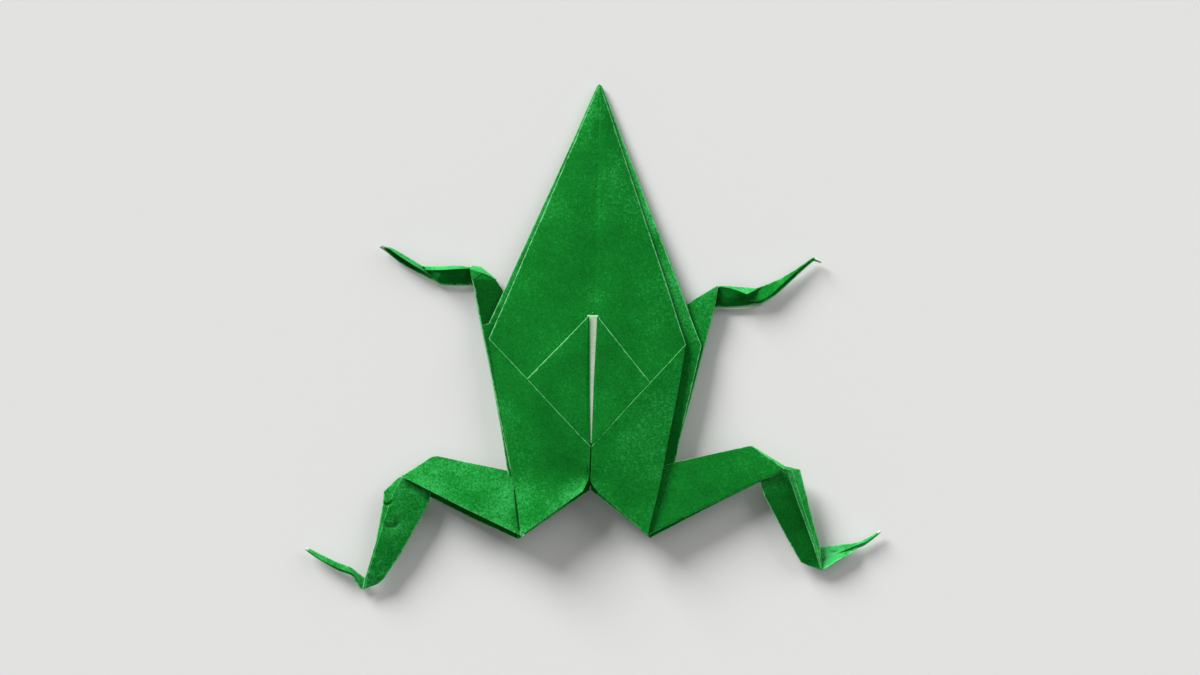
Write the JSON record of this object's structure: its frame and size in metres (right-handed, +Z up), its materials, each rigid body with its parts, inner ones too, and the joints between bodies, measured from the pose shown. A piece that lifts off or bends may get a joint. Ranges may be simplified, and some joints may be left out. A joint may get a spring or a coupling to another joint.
{
  "type": "origami frog",
  "caption": "Frog folded from one square of green paper, lying flat with a pointed head, splayed arms and bent hind legs.",
  "frame": {"origin": "middle of the frog's outline, on the surface that it lies on", "axes": "+Z up from the surface, +Y along the body towards the head's tip, +X to the frog's right-hand side as seen from above"},
  "size_m": [0.0782, 0.0688, 0.0055],
  "materials": {
    "paper": "matte"
  },
  "bodies": {
    "root": {"folded_sheet": "paper"}
  },
  "joints": []
}
